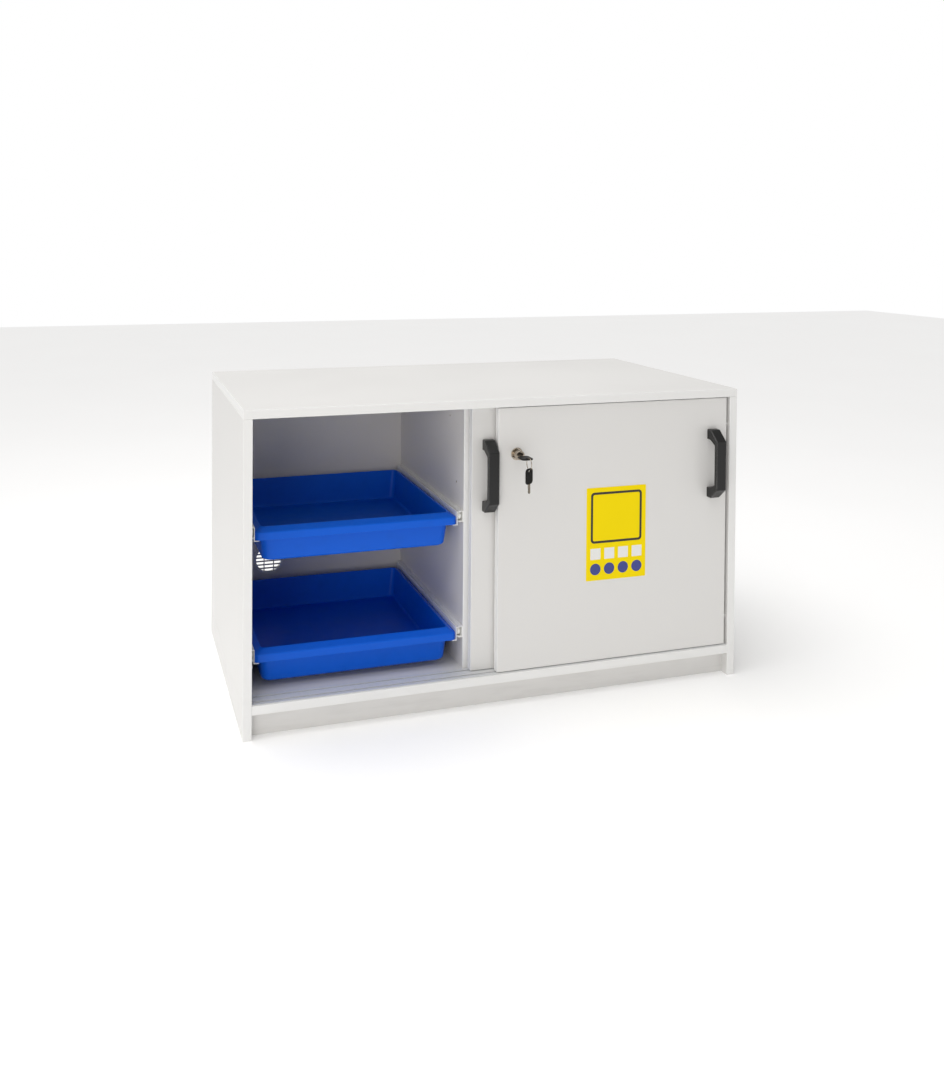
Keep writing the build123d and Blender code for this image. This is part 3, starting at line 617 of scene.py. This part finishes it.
def grow(name, tree, places, values, body):
    """Run a tree on (point, facing) places and keep the result as a plain mesh on a body."""
    mesh = bpy.data.meshes.new(name)
    mesh.from_pydata([point for point, facing in places], [], [])
    facings = mesh.attributes.new("facing", "FLOAT_VECTOR", "POINT")
    facings.data.foreach_set("vector", [part for point, facing in places for part in facing])
    made = bpy.data.objects.new(name, mesh)
    bpy.context.scene.collection.objects.link(made)
    modifier = made.modifiers.new(name, "NODES")
    modifier.node_group = tree
    for item in tree.interface.items_tree:
        if item.in_out == "INPUT" and item.name in values:
            modifier[item.identifier] = values[item.name]
    whole = bpy.context.evaluated_depsgraph_get()
    made.data = bpy.data.meshes.new_from_object(made.evaluated_get(whole))
    made.modifiers.clear()
    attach(made, body)
    return made


screw_tree, given, out = geometry_tree("countersunk_screws", (
    ("Head Radius", "Float", 0.0035),
    ("Rim Height", "Float", 0.0004),
    ("Recess Width", "Float", 0.0009),
    ("Material", "Material", None),
))
head = put(screw_tree, "GeometryNodeMeshCone", sockets={
    "Vertices": head_sides, "Radius Top": maths(screw_tree, "MULTIPLY", given["Head Radius"], head_taper),
    "Radius Bottom": given["Head Radius"], "Depth": given["Rim Height"]})
bar_length = maths(screw_tree, "MULTIPLY", given["Head Radius"], recess_reach)
lift = put(screw_tree, "ShaderNodeCombineXYZ", sockets={2: given["Rim Height"]})
bars = []
for x_size, y_size in ((given["Recess Width"], bar_length), (bar_length, given["Recess Width"])):
    size = put(screw_tree, "ShaderNodeCombineXYZ", sockets={0: x_size, 1: y_size, 2: given["Rim Height"]})
    bar = put(screw_tree, "GeometryNodeMeshCube", sockets={"Size": size.outputs[0]})
    bars.append(put(screw_tree, "GeometryNodeTransform", sockets={
        "Geometry": bar.outputs[0], "Translation": lift.outputs[0]}).outputs[0])
slotted = put(screw_tree, "GeometryNodeMeshBoolean", {"operation": "DIFFERENCE"},
              {"Mesh 1": head.outputs[0]})
for bar in bars:
    screw_tree.links.new(bar, slotted.inputs["Mesh 2"])
place_copies(screw_tree, given, out, slotted.outputs[0])

places = []
for level_name in ("upper", "lower"):
    for side in ("left", "right"):
        low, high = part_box(f"{level_name}_{side}_cabinet_rails")
        middle_height = (low.z + high.z) / 2
        for back_by in screw_lines:
            for x, facing in ((low.x + steel_thickness, 1), (high.x - steel_thickness, -1)):
                places.append(((x, low.y + back_by, middle_height), (facing, 0, 0)))
runner_screws = grow("runner_screws", screw_tree, places, {"Material": zinc}, "carcass")


# Print on the sign plate: a plain black frame line and two rows of blank fields, white
# squares over blue discs, each a film of ink on the yellow sheet.
ink_film = 0.0002
columns = 4
first_column = 0.0215
column_pitch = 0.033
squares_height = 0.057
square_radius = 0.0168
discs_height = 0.024
disc_radius = 0.0125
disc_sides = 40
frame_margin = 0.010
frame_foot = 0.080
line_width = 0.005
outer_round = 0.008
inner_round = 0.004
tile_tree, given, out = geometry_tree("printed_fields", (
    ("Corners", "Int", 4),
    ("Radius", "Float", 0.012),
    ("Turn", "Float", 0.0),
    ("Film", "Float", ink_film),
    ("Material", "Material", None),
))
field = put(tile_tree, "GeometryNodeMeshCylinder", sockets={
    "Vertices": given["Corners"], "Radius": given["Radius"], "Depth": given["Film"]})
spin = put(tile_tree, "ShaderNodeCombineXYZ", sockets={2: given["Turn"]})
turned_field = put(tile_tree, "GeometryNodeTransform", sockets={
    "Geometry": field.outputs[0], "Rotation": spin.outputs[0]})
place_copies(tile_tree, given, out, turned_field.outputs[0])
low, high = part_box("sign_plate")
sign_face = low.y
ink_white = plain_finish(
    "ink_white", colour=(0.84, 0.84, 0.82), roughness=0.3, grain_scale=300.0, grain_depth=0.00002)
ink_blue = plain_finish(
    "ink_blue", colour=(0.035, 0.05, 0.26), roughness=0.3, grain_scale=300.0, grain_depth=0.00002)
ink_black = plain_finish(
    "ink_black", colour=(0.02, 0.018, 0.012), roughness=0.3, grain_scale=300.0, grain_depth=0.00002)
for title, corners, radius, spin_angle, height, ink in (
        ("sign_squares", 4, square_radius, math.radians(45), low.z + squares_height, ink_white),
        ("sign_discs", disc_sides, disc_radius, 0.0, low.z + discs_height, ink_blue)):
    places = [
        ((low.x + first_column + column_pitch * k, sign_face, height), (0, -1, 0)) for k in range(columns)]
    fields = grow(title, tile_tree, places, {
        "Corners": corners, "Radius": radius, "Turn": spin_angle, "Material": ink}, "right_door")
frame_low = Vector((low.x + frame_margin, low.z + frame_foot, 0))
frame_high = Vector((high.x - frame_margin, high.z - frame_margin, 0))


def flat_ring(inset, radius, film):
    """The frame line's outline, drawn in by inset and raised off the plate by film."""
    return [(x, sign_face - film, z) for x, z, height in plan_ring(frame_low, frame_high, inset, radius, 0)]


rings = [
    flat_ring(0, outer_round, 0), flat_ring(0, outer_round, ink_film),
    flat_ring(line_width, inner_round, ink_film), flat_ring(line_width, inner_round, 0)]
count = len(rings[0])
points = [point for ring in rings for point in ring]
polygons = [
    (r * count + k, r * count + (k + 1) % count,
     (r + 1) % len(rings) * count + (k + 1) % count, (r + 1) % len(rings) * count + k)
    for r in range(len(rings)) for k in range(count)]
sign_frame = mesh_piece("sign_frame", points, polygons, ink_black, smooth=False)
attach(sign_frame, "right_door")
